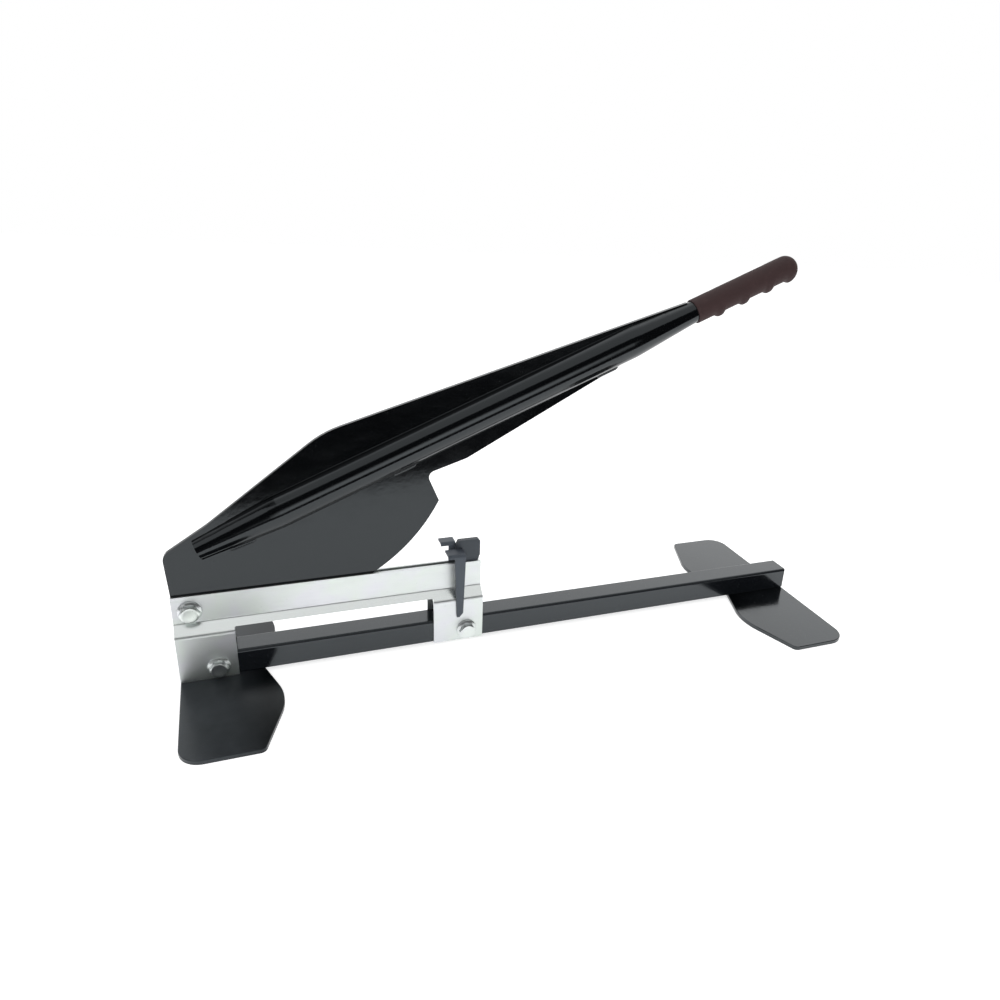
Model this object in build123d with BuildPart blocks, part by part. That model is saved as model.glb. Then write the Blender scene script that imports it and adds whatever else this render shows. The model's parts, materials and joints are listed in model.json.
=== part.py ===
import os
from math import acos, atan2, cos, degrees, hypot, radians, sin, sqrt, tan

from build123d import *

# Lever tile cutter: a blade plate hinged between two joggled jaw plates on a square tube base.
# X runs along the base, Y across it with the front at -Y, Z up from the floor.
# The origin is on the floor, midway between the outer edges of the two feet.

# Base tube and feet
base_length = 675.0
tube_side = 25.0
tube_wall = 1.5
tube_corner = 1.8
foot_thickness = 4.0
foot_width = 260.5
foot_end_depth = 68.3
foot_bulge_depth = 92.3
foot_bulge_spacing = 124.0
foot_waist_depth = 71.8
foot_outer_radius = 20.0
foot_inner_radius = 6.0
foot_bulge_radius = 64.0
foot_waist_radius = 14.0
foot_edge_break = 0.5
foot_weld_radius = 3.0
foot_weld_inset = 5.0

# Jaw plates
jaw_length = 292.0
jaw_thickness = 2.5
jaw_top = 88.0
jaw_flange_height = 27.0
jaw_bend_radius = 2.0
jaw_lip_drop = 6.5
leg_width = 51.7
window_corner_radius = 1.0

# Blade plate, drawn closed with the pivot as its origin
blade_thickness = 4.0
blade_side_gap = 0.5
rest_opening = 18.0
pivot_inset = 15.0
pivot_drop = 15.5
heel_radius = 13.7
back_lean = 15.2
back_height = 59.4
back_corner_radius = 11.0
saddle_reach = 47.4
saddle_height = 71.3
saddle_radius = 70.0
shoulder_reach = 171.0
shoulder_height = 113.8
shoulder_radius = 95.0
tang_above = 12.1
tang_below = 8.5
tang_inset = 5.0
edge_radius = 174.0
tip_height = 9.1
tip_radius = 1.5
tip_clearance = 5.5
end_lean = 4.9
throat_radius = 6.5
knee_margin = 10.8
knee_radius = 25.0
belly_clearance = 2.0
blade_edge_break = 0.4

# Handle tube, swaged down at both ends, and its grip
handle_height = 49.7
handle_slope = 4.9
handle_start = 31.0
handle_radius = 16.3
handle_nose_radius = 10.5
handle_nose_length = 75.0
handle_neck_radius = 10.8
handle_swage_length = 71.0
handle_swage_radius = 120.0
handle_wall = 2.0
stitch_radius = 3.0
stitch_length = 24.0
stitch_places = (24.0, 184.0, 404.0)
grip_start = 552.8
grip_length = 123.0
grip_radius = 12.3
grip_clearance = 0.1
grip_end_break = 7.0
grip_end_wall = 13.5
finger_ridge_first = 26.1
finger_ridge_pitch = 29.15
finger_ridge_count = 3
finger_ridge_last = 12.0
finger_ridge_width = 13.0
finger_ridge_height = 3.1

# Lever stop and blade guides at the free end of the jaws
stop_inset = 0.4
stop_width = 22.5
stop_height = 111.7
landing_clearance = 0.6
stop_depth = 24.0
stop_corner_radius = 3.5
stop_toe_reach = 3.0
stop_toe_drop = 6.5
stop_shank_inset = 3.4
stop_shank_rise = 6.4
guide_thickness = 2.0
guide_bend_radius = 1.5
front_tab_height = 103.0
front_tab_width = 18.0
front_tab_overlap = 3.6
finger_top_width = 11.4
finger_tip_width = 6.4
finger_tip_height = 32.0
finger_tip_slant = 4.5
finger_tip_flat = 2.6
finger_lean = 2.2
rear_lip_height = 108.6
rear_lip_width = 15.0
rear_lip_depth = 12.6
rear_lip_gap = 2.0
rear_web_width = 7.0
rear_foot_overlap = 6.0
rear_foot_rise = 9.0

# Fasteners
pivot_diameter = 10.0
pivot_flats = 16.0
pivot_flange = 21.0
pivot_head_height = 8.2
pivot_washer_thickness = 2.0
pivot_nut_height = 10.0
bush_wall = 2.0
bush_clearance = 0.05
leg_bolt_diameter = 10.0
leg_bolt_flats = 15.0
leg_bolt_flange = 20.6
leg_bolt_head_height = 7.6
leg_bolt_inset = 34.4
leg_bolt_drop = 0.5
leg_washer_thickness = 2.0
leg_nut_height = 10.0
flange_thickness = 2.2
head_edge_break = 0.8
bolt_clearance = 0.2
thread_clearance = 0.05
bolt_projection = 2.5

# Heights and faces that several pieces share
left_end = -base_length / 2
tube_bottom = foot_thickness
tube_top = tube_bottom + tube_side
tube_middle = tube_bottom + tube_side / 2
tube_face = tube_side / 2
jaw_gap = blade_thickness + 2 * blade_side_gap
slot_face = jaw_gap / 2
flange_face = slot_face + jaw_thickness
leg_face = tube_face + jaw_thickness
flange_bottom = jaw_top - jaw_flange_height
jaw_right = left_end + jaw_length
window_top = flange_bottom - jaw_lip_drop
pivot_x = left_end + pivot_inset
pivot_z = jaw_top - pivot_drop
leg_bolt_height = tube_middle - leg_bolt_drop
leg_bolt_places = (left_end + leg_bolt_inset, jaw_right - leg_width + leg_bolt_inset)
stop_right = jaw_right - stop_inset
stop_left = stop_right - stop_width
bush_radius = pivot_diameter / 2 + bolt_clearance / 2 + bush_wall


def meet(start, start_angle, end, end_angle):
    """Point where two lines cross, each given by a point and its angle in degrees."""
    ux, uy = cos(radians(start_angle)), sin(radians(start_angle))
    vx, vy = cos(radians(end_angle)), sin(radians(end_angle))
    along = ((end[0] - start[0]) * vy - (end[1] - start[1]) * vx) / (ux * vy - uy * vx)
    return start[0] + along * ux, start[1] + along * uy


def on_circle(center, radius, angle):
    """Point on a circle at an angle in degrees."""
    return center[0] + radius * cos(radians(angle)), center[1] + radius * sin(radians(angle))


def near(shape, point):
    """The vertex of a shape that lies nearest to a point."""
    return shape.vertices().sort_by_distance(point)[0]


def facing(x, y, z, side):
    """Plane at a point whose normal looks to the front (-1) or to the rear (+1)."""
    return Plane(origin=(x, y, z), x_dir=(-side, 0, 0), z_dir=(0, side, 0))


def write(piece, label):
    """Label a finished piece and write it to its own file."""
    piece.part.label = label
    export_step(piece.part, f"parts/{label}.step")


os.makedirs("parts", exist_ok=True)

# Base tube with its cross holes
with BuildPart() as base_tube:
    with BuildSketch(Plane.YZ.offset(left_end)):
        with Locations((0, tube_middle)):
            RectangleRounded(tube_side, tube_side, tube_corner)
            bore_side = tube_side - 2 * tube_wall
            RectangleRounded(bore_side, bore_side, tube_corner - tube_wall, mode=Mode.SUBTRACT)
    extrude(amount=base_length)
    with BuildSketch(Plane.XZ):
        with Locations(*[(x, leg_bolt_height) for x in leg_bolt_places]):
            Circle((leg_bolt_diameter + bolt_clearance) / 2)
    extrude(amount=tube_side, both=True, mode=Mode.SUBTRACT)
write(base_tube, "base_tube")

# Flat feet: straight outside, waisted under the tube, with a rounded bulge on each wing
with BuildPart() as left_foot:
    with BuildSketch() as outline:
        half_width = foot_width / 2
        bulge_y = foot_bulge_spacing / 2
        end_x = left_end + foot_end_depth
        bulge_x = left_end + foot_bulge_depth
        waist_x = left_end + foot_waist_depth
        with BuildLine():
            Polyline(
                (left_end, -half_width),
                (end_x, -half_width),
                (bulge_x, -bulge_y),
                (waist_x, 0),
                (bulge_x, bulge_y),
                (end_x, half_width),
                (left_end, half_width),
                close=True,
            )
        make_face()
        fillet(near(outline, (waist_x, 0)), foot_waist_radius)
        for side in (-1, 1):
            fillet(near(outline, (left_end, side * half_width)), foot_outer_radius)
            fillet(near(outline, (end_x, side * half_width)), foot_inner_radius)
            fillet(near(outline, (bulge_x, side * bulge_y)), foot_bulge_radius)
    extrude(amount=foot_thickness)
    chamfer(left_foot.faces().sort_by(Axis.Z)[-1].edges(), foot_edge_break)
write(left_foot, "left_foot")

with BuildPart() as right_foot:
    mirror(left_foot.part, about=Plane.YZ)
write(right_foot, "right_foot")

# Fillet welds along the rear side of the tube, clear of the jaw leg on the left foot
with BuildPart() as foot_welds:
    waist_reach = foot_waist_depth - foot_weld_inset
    runs = (
        (left_end + leg_width + foot_weld_inset, left_end + waist_reach),
        (-left_end - waist_reach, -left_end - foot_weld_inset),
    )
    for start, end in runs:
        with BuildSketch(Plane.YZ.offset(start)):
            with Locations((tube_face, tube_bottom)):
                Circle(foot_weld_radius)
        extrude(amount=end - start)
    with BuildSketch(Plane.XY):
        Rectangle(base_length, foot_width)
    extrude(amount=tube_bottom, mode=Mode.SUBTRACT)
    with BuildSketch(Plane.YZ.offset(left_end)):
        with Locations((0, tube_middle)):
            RectangleRounded(tube_side, tube_side, tube_corner)
    extrude(amount=base_length, mode=Mode.SUBTRACT)
write(foot_welds, "foot_welds")

# Jaw plates: a flat upper flange, a joggle at 45 degrees and a leg at each end
with BuildPart() as front_jaw:
    with BuildSketch(Plane.YZ.offset(left_end)) as section:
        with BuildLine():
            joggle = tube_face - slot_face
            bend_shift = jaw_thickness * tan(radians(22.5))
            front_line = (
                (-flange_face, jaw_top),
                (-flange_face, flange_bottom),
                (-leg_face, flange_bottom - joggle),
                (-leg_face, tube_bottom),
            )
            rear_line = (
                (-tube_face, tube_bottom),
                (-tube_face, flange_bottom - joggle - bend_shift),
                (-slot_face, flange_bottom - bend_shift),
                (-slot_face, jaw_top),
            )
            Polyline(*front_line, *rear_line, close=True)
        make_face()
        fillet([near(section, front_line[1]), near(section, rear_line[1])], jaw_bend_radius)
        outer_bends = [near(section, front_line[2]), near(section, rear_line[2])]
        fillet(outer_bends, jaw_bend_radius + jaw_thickness)
    extrude(amount=jaw_length)
    with BuildSketch(Plane.XZ) as window:
        window_left = left_end + leg_width
        window_right = jaw_right - leg_width
        with BuildLine():
            Polyline(
                (window_left, tube_bottom - jaw_thickness),
                (window_right, tube_bottom - jaw_thickness),
                (window_right, window_top),
                (window_left, window_top),
                close=True,
            )
        make_face()
        for x in (window_left, window_right):
            fillet(near(window, (x, window_top)), window_corner_radius)
    extrude(amount=2 * leg_face, mode=Mode.SUBTRACT)
    with BuildSketch(Plane.XZ):
        with Locations((pivot_x, pivot_z)):
            Circle((pivot_diameter + bolt_clearance) / 2)
        with Locations(*[(x, leg_bolt_height) for x in leg_bolt_places]):
            Circle((leg_bolt_diameter + bolt_clearance) / 2)
    extrude(amount=2 * leg_face, mode=Mode.SUBTRACT)
write(front_jaw, "front_jaw")

with BuildPart() as rear_jaw:
    mirror(front_jaw.part, about=Plane.XZ)
write(rear_jaw, "rear_jaw")

# Lever frame: drawn closed, then opened about the pivot to the rest pose
opening = radians(rest_opening)
lever_plane = Plane(
    origin=(pivot_x, 0, pivot_z), x_dir=(cos(opening), 0, sin(opening)), z_dir=(0, -1, 0)
)
landing_height = stop_height + landing_clearance - pivot_z
tip_reach = stop_left - tip_clearance - pivot_x
tip = (tip_reach, tip_height)
throat = meet(tip, 90 + end_lean, (0, landing_height), 0)
knee = (stop_right + knee_margin - pivot_x, landing_height)
belly_height = tube_top + belly_clearance - pivot_z
edge_center_height = belly_height + edge_radius
edge_center = (
    tip_reach - sqrt(edge_radius**2 - (edge_center_height - tip_height) ** 2),
    edge_center_height,
)


def on_handle(along, above):
    """Lever point at a distance along the handle axis and a height above it."""
    slope = radians(handle_slope)
    x = along * cos(slope) - above * sin(slope)
    return x, handle_height + along * sin(slope) + above * cos(slope)


# Blade plate: cutting edge, landing for the stop, throat, tang, shoulder, back and heel
with BuildPart() as lever_plate:
    center_distance = hypot(*edge_center)
    center_angle = degrees(atan2(edge_center[1], edge_center[0]))
    under_angle = center_angle - degrees(acos((heel_radius - edge_radius) / center_distance))
    heel_back = on_circle((0, 0), heel_radius, 180 - back_lean)
    heel_under = on_circle((0, 0), heel_radius, under_angle)
    heel_middle = on_circle((0, 0), heel_radius, (180 - back_lean + under_angle + 360) / 2)
    edge_start = on_circle(edge_center, edge_radius, under_angle)
    tip_angle = degrees(atan2(tip[1] - edge_center[1], tip[0] - edge_center[0]))
    edge_middle = on_circle(edge_center, edge_radius, (under_angle + tip_angle) / 2)
    back_corner = meet(heel_back, 90 - back_lean, (0, back_height), 0)
    saddle = (saddle_reach, saddle_height)
    shoulder = (shoulder_reach, shoulder_height)
    tang_end = grip_start - tang_inset
    with BuildSketch(lever_plane.offset(-blade_thickness / 2)) as profile:
        with BuildLine():
            ThreePointArc(heel_back, heel_middle, heel_under)
            Line(heel_under, edge_start)
            ThreePointArc(edge_start, edge_middle, tip)
            Polyline(
                tip,
                throat,
                knee,
                on_handle(tang_end, -tang_below),
                on_handle(tang_end, tang_above),
                shoulder,
                saddle,
                back_corner,
                heel_back,
            )
        make_face()
        fillet(near(profile, tip), tip_radius)
        fillet(near(profile, throat), throat_radius)
        fillet(near(profile, knee), knee_radius)
        fillet(near(profile, shoulder), shoulder_radius)
        fillet(near(profile, saddle), saddle_radius)
        fillet(near(profile, back_corner), back_corner_radius)
        Circle(bush_radius + bush_clearance, mode=Mode.SUBTRACT)
    extrude(amount=blade_thickness)
write(lever_plate, "lever_plate")

# Handle tube: slit along the blade plate, narrow at the nose and at the neck under the grip
handle_root = lever_plane.from_local_coords(Vector(*on_handle(0, 0), 0))
handle_tip = lever_plane.from_local_coords(Vector(*on_handle(grip_start, 0), 0))
handle_axis = Axis(handle_root, handle_tip - handle_root)
handle_plane = Plane(origin=handle_root, x_dir=handle_axis.direction, z_dir=(0, -1, 0))
nose_end = handle_start + handle_nose_length
swage_start = grip_start - handle_swage_length
handle_end = grip_start + grip_length - grip_end_wall
handle_line = (
    (handle_start, handle_nose_radius),
    (nose_end, handle_radius),
    (swage_start, handle_radius),
    (grip_start, handle_neck_radius),
    (handle_end, handle_neck_radius),
)


def handle_profile(inset, bend_radius=0):
    """Face under the handle's outline, moved in by an inset, to be turned about its axis."""
    with BuildSketch(handle_plane) as profile:
        with BuildLine():
            line = [(along, radius - inset) for along, radius in handle_line]
            Polyline((handle_start, 0), *line, (handle_end, 0), close=True)
        make_face()
        for bend in line[1:-1] if bend_radius else ():
            fillet(near(profile, bend), bend_radius)
    return profile.sketch


with BuildPart() as handle_envelope:
    revolve(handle_profile(0, handle_swage_radius), axis=handle_axis)

with BuildPart() as handle_tube:
    add(handle_envelope.part)
    revolve(handle_profile(handle_wall), axis=handle_axis, mode=Mode.SUBTRACT)
    add(lever_plate.part, mode=Mode.SUBTRACT)
write(handle_tube, "handle_tube")

# Stitch welds along the lower seams of the handle, on both faces of the blade plate
with BuildPart() as handle_welds:
    seam_face = blade_thickness / 2
    for place in stitch_places:
        ends = (handle_start + place, handle_start + place + stitch_length)
        rises = [min(1.0, (end - handle_start) / handle_nose_length) for end in ends]
        radii = [handle_nose_radius + rise * (handle_radius - handle_nose_radius) for rise in rises]
        drops = [sqrt(radius**2 - seam_face**2) for radius in radii]
        points = [lever_plane.from_local_coords(Vector(*on_handle(end, -drop), 0))
                  for end, drop in zip(ends, drops)]
        run = points[1] - points[0]
        for side in (-1, 1):
            start = points[0] + Vector(0, side * seam_face, 0)
            with BuildSketch(Plane(origin=start, x_dir=(0, 1, 0), z_dir=run)):
                Circle(stitch_radius)
            extrude(amount=run.length)
    add(handle_envelope.part, mode=Mode.SUBTRACT)
    add(lever_plate.part, mode=Mode.SUBTRACT)
write(handle_welds, "handle_welds")

# Grip: a closed sleeve, deepened below its axis, with finger grooves across its underside
with BuildPart() as grip:
    mouth = handle_plane.from_local_coords(Vector(grip_start, 0, 0))
    mouth_plane = Plane(origin=mouth, x_dir=handle_plane.y_dir, z_dir=handle_plane.x_dir)
    with BuildSketch(mouth_plane):
        with Locations((-finger_ridge_height / 2, 0)):
            SlotCenterToCenter(finger_ridge_height, 2 * grip_radius)
    extrude(amount=grip_length)
    dome = grip.faces().sort_by(handle_axis)[-1]
    chamfer(dome.edges(), grip_end_break)
    ridges = [finger_ridge_first + n * finger_ridge_pitch for n in range(finger_ridge_count)]
    ridges.append(grip_length - finger_ridge_last)
    groove_starts = [-finger_ridge_width, *ridges[:-1]]
    crest = -grip_radius - finger_ridge_height
    with BuildSketch(handle_plane.offset(-grip_radius)):
        for before, after in zip(groove_starts, ridges):
            with BuildLine():
                Polyline(
                    (grip_start + before + finger_ridge_width / 6, crest),
                    (grip_start + before + finger_ridge_width / 2, -grip_radius),
                    (grip_start + after - finger_ridge_width / 2, -grip_radius),
                    (grip_start + after - finger_ridge_width / 6, crest),
                    close=True,
                )
            make_face()
    extrude(amount=2 * grip_radius, mode=Mode.SUBTRACT)
    with BuildSketch(mouth_plane):
        Circle(handle_neck_radius + grip_clearance)
    extrude(amount=handle_end - grip_start, mode=Mode.SUBTRACT)
write(grip, "grip")

# Lever stop: a block whose shank is held between the jaws and whose top carries the landing
with BuildPart() as lever_stop:
    with BuildSketch(Plane.XZ) as block:
        shank_right = stop_right - stop_shank_inset
        with BuildLine():
            Polyline(
                (stop_left - stop_toe_reach, jaw_top - stop_depth),
                (shank_right, jaw_top - stop_depth),
                (shank_right, jaw_top - stop_shank_inset),
                (stop_right, jaw_top + stop_shank_rise),
                (stop_right, stop_height),
                (stop_left, stop_height),
                (stop_left - stop_toe_reach, stop_height - stop_toe_drop),
                close=True,
            )
        make_face()
        fillet(near(block, (stop_right, stop_height)), stop_corner_radius)
    extrude(amount=slot_face, both=True)
write(lever_stop, "lever_stop")

# Front blade guide: a tab over the front jaw that ends in a tapered finger down to the leg
with BuildPart() as front_guide:
    tab_right = stop_left + front_tab_overlap
    tab_left = tab_right - front_tab_width
    tab_under = front_tab_height - guide_thickness
    with BuildSketch(Plane.YZ.offset(tab_left)):
        with BuildLine():
            FilletPolyline(
                (-slot_face, tab_under),
                (-leg_face, tab_under),
                (-leg_face, finger_tip_height),
                radius=guide_bend_radius,
            )
            offset(amount=guide_thickness, side=Side.RIGHT)
        make_face()
    extrude(amount=front_tab_width)
    with BuildSketch(Plane.XZ):
        finger_left = tab_right - finger_top_width
        tip_right = tab_right - finger_lean
        with BuildLine():
            Polyline(
                (tab_left, front_tab_height),
                (tab_right, front_tab_height),
                (tip_right, finger_tip_height + finger_tip_slant),
                (tip_right - finger_tip_width + finger_tip_flat, finger_tip_height),
                (tip_right - finger_tip_width, finger_tip_height),
                (finger_left, tab_under - guide_thickness),
                (tab_left, tab_under - guide_thickness),
                close=True,
            )
        make_face()
    extrude(amount=2 * leg_face, mode=Mode.INTERSECT)
write(front_guide, "front_guide")

# Rear blade guide: a web behind the slot whose lip turns back to lead the blade in
with BuildPart() as rear_guide:
    web_left = stop_left - rear_web_width - rear_lip_gap
    lip_right = stop_left - rear_lip_gap
    lip_left = lip_right - rear_lip_width
    foot_right = stop_left + rear_foot_overlap
    with BuildSketch(Plane.YZ.offset(lip_left)):
        with BuildLine():
            FilletPolyline(
                (slot_face, jaw_top),
                (slot_face, rear_lip_height),
                (slot_face + rear_lip_depth, rear_lip_height),
                radius=guide_bend_radius + guide_thickness,
            )
            offset(amount=guide_thickness, side=Side.RIGHT)
        make_face()
    extrude(amount=foot_right - lip_left)
    with BuildSketch(Plane.XZ):
        lip_under = rear_lip_height - guide_thickness - guide_bend_radius
        with BuildLine():
            Polyline(
                (web_left, jaw_top),
                (foot_right, jaw_top),
                (foot_right, jaw_top + rear_foot_rise),
                (lip_right, lip_under),
                (lip_right, rear_lip_height),
                (lip_left, rear_lip_height),
                (lip_left, lip_under),
                (web_left, lip_under),
                close=True,
            )
        make_face()
    extrude(amount=-2 * leg_face, mode=Mode.INTERSECT)
write(rear_guide, "rear_guide")

# Pivot bush: clamped between the jaws, so that the blade plate turns on it
with BuildPart() as pivot_bush:
    with BuildSketch(Plane.XZ):
        with Locations((pivot_x, pivot_z)):
            Circle(bush_radius)
            Circle((pivot_diameter + bolt_clearance) / 2, mode=Mode.SUBTRACT)
    extrude(amount=slot_face, both=True)
write(pivot_bush, "pivot_bush")


def flange_bolt(seat, diameter, flats, flange, head_height, length):
    """Hexagon flange bolt with its seat on a plane and its shank behind it."""
    with BuildPart() as bolt:
        with BuildSketch(seat):
            Circle(flange / 2)
        extrude(amount=flange_thickness)
        with BuildSketch(seat):
            RegularPolygon(flats / 2, 6, major_radius=False)
        extrude(amount=head_height)
        rim = bolt.faces().sort_by(Axis(seat.origin, seat.z_dir))[-1]
        chamfer(rim.edges(), head_edge_break)
        with BuildSketch(seat):
            Circle(diameter / 2)
        extrude(amount=-length)
    return bolt


def plain_washer(seat, diameter, outside, thickness):
    """Flat washer lying on a plane."""
    with BuildPart() as washer:
        with BuildSketch(seat):
            Circle(outside / 2)
            Circle(diameter / 2 + bolt_clearance, mode=Mode.SUBTRACT)
        extrude(amount=thickness)
    return washer


def hexagon_nut(seat, diameter, flats, height):
    """Hexagon nut lying on a plane."""
    with BuildPart() as nut:
        with BuildSketch(seat):
            RegularPolygon(flats / 2, 6, major_radius=False)
            Circle(diameter / 2 + thread_clearance, mode=Mode.SUBTRACT)
        extrude(amount=height)
    return nut


# Pivot bolt across the jaws, locked behind by a washer and nut
pivot_front = facing(pivot_x, -flange_face, pivot_z, -1)
pivot_rear = facing(pivot_x, flange_face, pivot_z, 1)
pivot_stack = 2 * flange_face + pivot_washer_thickness + pivot_nut_height
pivot_length = pivot_stack + bolt_projection
write(
    flange_bolt(
        pivot_front, pivot_diameter, pivot_flats, pivot_flange, pivot_head_height, pivot_length
    ),
    "pivot_bolt",
)
write(plain_washer(pivot_rear, pivot_diameter, pivot_flange, pivot_washer_thickness), "pivot_washer")
write(
    hexagon_nut(
        pivot_rear.offset(pivot_washer_thickness), pivot_diameter, pivot_flats, pivot_nut_height
    ),
    "pivot_nut",
)

# Leg bolts through the jaw legs and the base tube
leg_stack = 2 * leg_face + leg_washer_thickness + leg_nut_height
leg_length = leg_stack + bolt_projection
for side_name, x in zip(("left", "right"), leg_bolt_places):
    leg_front = facing(x, -leg_face, leg_bolt_height, -1)
    leg_rear = facing(x, leg_face, leg_bolt_height, 1)
    write(
        flange_bolt(
            leg_front,
            leg_bolt_diameter,
            leg_bolt_flats,
            leg_bolt_flange,
            leg_bolt_head_height,
            leg_length,
        ),
        f"{side_name}_leg_bolt",
    )
    write(
        plain_washer(leg_rear, leg_bolt_diameter, leg_bolt_flange, leg_washer_thickness),
        f"{side_name}_leg_washer",
    )
    write(
        hexagon_nut(
            leg_rear.offset(leg_washer_thickness), leg_bolt_diameter, leg_bolt_flats, leg_nut_height
        ),
        f"{side_name}_leg_nut",
    )
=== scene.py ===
"""Finishes, fasteners, welds, grip and studio of a lever tile cutter."""

import json
import math

import bpy
from mathutils import Matrix, Vector


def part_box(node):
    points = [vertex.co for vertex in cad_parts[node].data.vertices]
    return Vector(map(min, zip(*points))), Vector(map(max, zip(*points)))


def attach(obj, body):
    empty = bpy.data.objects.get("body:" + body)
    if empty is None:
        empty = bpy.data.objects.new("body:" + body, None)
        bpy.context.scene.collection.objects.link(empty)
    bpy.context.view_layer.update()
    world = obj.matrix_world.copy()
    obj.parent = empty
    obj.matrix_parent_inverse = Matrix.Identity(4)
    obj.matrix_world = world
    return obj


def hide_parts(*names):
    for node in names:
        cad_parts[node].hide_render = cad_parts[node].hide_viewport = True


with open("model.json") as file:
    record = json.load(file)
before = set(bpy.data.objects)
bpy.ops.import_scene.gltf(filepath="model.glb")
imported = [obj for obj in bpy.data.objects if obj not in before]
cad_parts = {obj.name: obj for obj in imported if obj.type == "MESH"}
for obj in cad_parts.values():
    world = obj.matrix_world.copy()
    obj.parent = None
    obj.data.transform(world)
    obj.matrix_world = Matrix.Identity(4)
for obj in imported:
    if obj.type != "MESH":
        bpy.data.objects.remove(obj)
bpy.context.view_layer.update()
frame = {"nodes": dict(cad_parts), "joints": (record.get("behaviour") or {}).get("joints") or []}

bl_info = {
    "name": "Tile cutter finishes",
    "version": (1, 0, 0),
    "blender": (4, 5, 0),
    "location": "View3D > Sidebar > Tile cutter",
    "description": "Paints, plates and dresses a lever tile cutter and sets its studio",
    "category": "Object",
}

MM = 0.001
UP = Vector((0.0, 0.0, 1.0))
PIVOT = Vector(frame["joints"][0]["pos_m"])

# The handle at rest: its angles, and its lengths and radii in millimetres.
LEVER_OPENING = math.radians(18.0)
HANDLE_SLOPE = math.radians(4.9)
HANDLE_HEIGHT = 49.7
HANDLE_START = 31.0
HANDLE_SWAGE = 75.0
HANDLE_NOSE_RADIUS = 10.5
HANDLE_RADIUS = 16.3
GRIP_START = 552.8

# Its stitch welds, from the start of the handle, in millimetres.
STITCH_LENGTH = 24.0
STITCH_PLACES = (24.0, 184.0, 404.0)
STITCH_SIDES = (-2.0, 2.0)

# The welds behind the base tube.
LEFT_WELD = 10.1 * MM
RIGHT_WELD = 61.8 * MM

# The fasteners.
BOLT_SIZE = 10.0 * MM
BOLT_CHAMFER = 0.9 * MM
THREAD_TURNS = 8
NUT_HEIGHT = 10.0 * MM
NUT_COLLAR = 2.6 * MM
NUT_CHAMFER = 0.75 * MM

# The grip: its lip, its end lobe, and the half width and side swell of a ridge's crest.
GRIP_LIP = 0.9 * MM
GRIP_LOBE = 12.0 * MM
RIDGE_CREST = 1.2 * MM
RIDGE_SIDES = 0.12

# How finely pieces are drawn, and how near points are merged.
ROUND_POINTS = 64
BEAD_POINTS = 18
GRIP_STEP = 1.1 * MM
DOME_RINGS = 15
RING_GAP = 0.0005 * MM
CUT_GAP = 0.002 * MM
SMOOTH_ANGLE = math.radians(34.0)

# The heights between which the jaws are bent, where the zinc gets a painted highlight.
JAW_BEND = (51.0 * MM, 61.0 * MM)

SENSOR_WIDTH = 36.0
WHITE = (1.0, 1.0, 1.0, 1.0)


class FinishSettings(bpy.types.PropertyGroup):
    """Colours and gloss of the cutter's finishes."""

    enamel: bpy.props.FloatVectorProperty(
        name="Enamel",
        description="Black of the painted steel",
        subtype="COLOR",
        size=3,
        min=0.0,
        max=1.0,
        default=(0.0017, 0.0020, 0.0025),
    )
    enamel_roughness: bpy.props.FloatProperty(
        name="Enamel roughness",
        description="Blur of the reflections in the paint",
        subtype="FACTOR",
        min=0.0,
        max=1.0,
        default=0.10,
    )
    zinc: bpy.props.FloatVectorProperty(
        name="Zinc",
        description="Colour of the bright zinc on the jaws",
        subtype="COLOR",
        size=3,
        min=0.0,
        max=1.0,
        default=(0.70, 0.733, 0.722),
    )
    zinc_roughness: bpy.props.FloatProperty(
        name="Zinc roughness",
        description="Blur of the reflections in the zinc",
        subtype="FACTOR",
        min=0.0,
        max=1.0,
        default=0.40,
    )
    vinyl: bpy.props.FloatVectorProperty(
        name="Vinyl",
        description="Brown of the dipped grip",
        subtype="COLOR",
        size=3,
        min=0.0,
        max=1.0,
        default=(0.0495, 0.0276, 0.0278),
    )


class PieceSettings(bpy.types.PropertyGroup):
    """Sizes of the grip, the welds and the fasteners."""

    grip_length: bpy.props.FloatProperty(
        name="Grip length",
        description="Length of the grip from its mouth to its round end",
        unit="LENGTH",
        default=123.0 * MM,
    )
    grip_radius: bpy.props.FloatProperty(
        name="Grip radius",
        description="Radius of the sleeve between its finger ridges",
        unit="LENGTH",
        default=12.3 * MM,
    )
    grip_bore: bpy.props.FloatProperty(
        name="Grip bore",
        description="Radius of the hole that takes the handle's neck",
        unit="LENGTH",
        default=10.9 * MM,
    )
    grip_end_wall: bpy.props.FloatProperty(
        name="Grip end wall",
        description="Thickness of the vinyl beyond the handle's end",
        unit="LENGTH",
        default=13.5 * MM,
    )
    ridge_first: bpy.props.FloatProperty(
        name="First ridge",
        description="Distance of the first finger ridge from the mouth",
        unit="LENGTH",
        default=26.1 * MM,
    )
    ridge_pitch: bpy.props.FloatProperty(
        name="Ridge pitch",
        description="Distance between finger ridges",
        unit="LENGTH",
        default=29.15 * MM,
    )
    ridge_count: bpy.props.IntProperty(
        name="Ridges",
        description="Finger ridges before the end lobe",
        min=0,
        default=3,
    )
    ridge_height: bpy.props.FloatProperty(
        name="Ridge height",
        description="How far the ridges stand below the sleeve",
        unit="LENGTH",
        default=3.1 * MM,
    )
    ridge_reach: bpy.props.FloatProperty(
        name="Ridge reach",
        description="Half the width of a finger ridge at its foot",
        unit="LENGTH",
        default=6.6 * MM,
    )
    bead_radius: bpy.props.FloatProperty(
        name="Bead radius",
        description="Radius of a weld bead",
        unit="LENGTH",
        default=3.0 * MM,
    )
    bead_pitch: bpy.props.FloatProperty(
        name="Bead pitch",
        description="Distance between the ripples of a weld bead",
        unit="LENGTH",
        default=2.4 * MM,
    )
    thread_pitch: bpy.props.FloatProperty(
        name="Thread pitch",
        description="Distance between the crests of the bolts' thread",
        unit="LENGTH",
        default=1.5 * MM,
    )


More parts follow.
